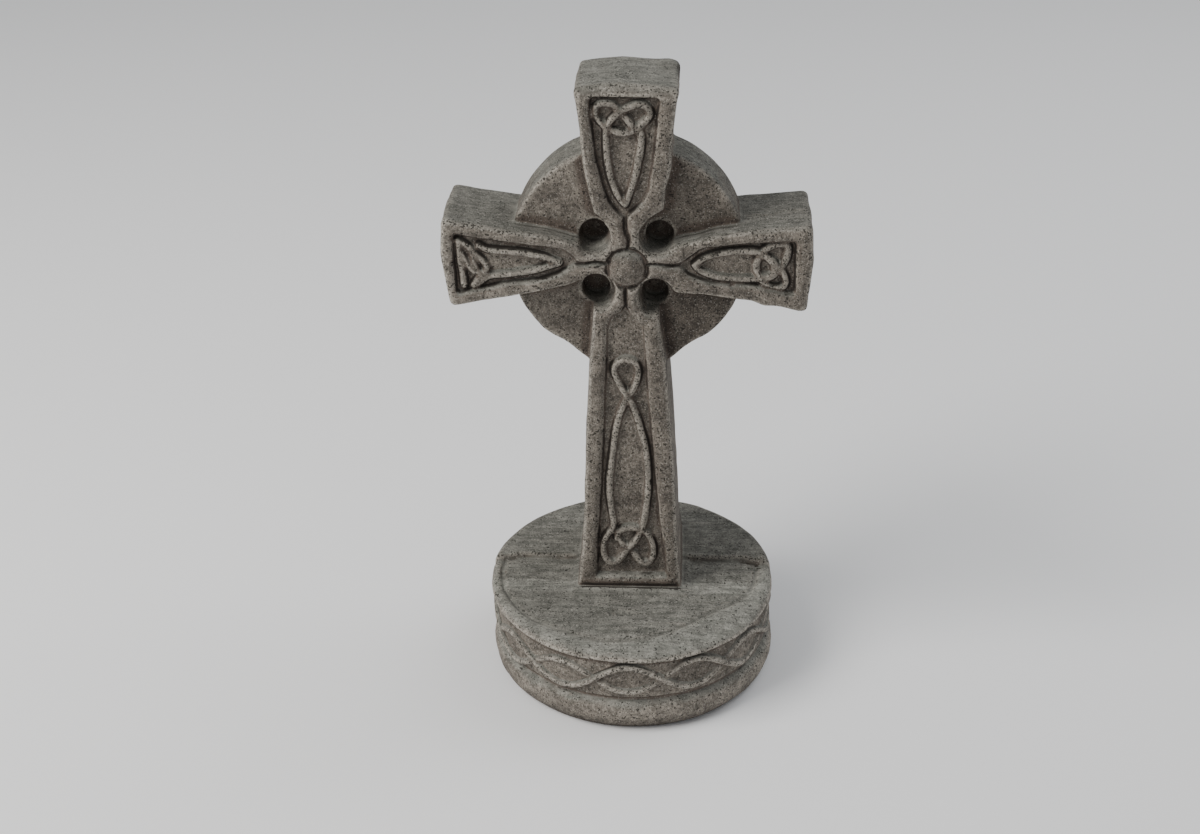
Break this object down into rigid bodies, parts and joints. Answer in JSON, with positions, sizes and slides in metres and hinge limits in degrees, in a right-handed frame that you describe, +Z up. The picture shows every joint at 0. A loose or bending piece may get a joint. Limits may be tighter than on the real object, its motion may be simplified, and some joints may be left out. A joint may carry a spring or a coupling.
{
  "type": "ringed cross memorial",
  "caption": "Small cast memorial: a flared cross with a disc behind its arms, roll-edged knotwork panels and a round beaded plinth",
  "frame": {"origin": "centre of the round underside, at the bottom of the plinth", "axes": "+Z up the shaft, -Y out of the carved front, +X to the right of someone facing the carving"},
  "size_m": [0.166, 0.14, 0.299],
  "materials": {
    "cast_concrete": "matt, finely pitted cast concrete, greener on the faces that look up"
  },
  "bodies": {
    "root": {"cross_memorial": "cast_concrete"}
  },
  "joints": []
}
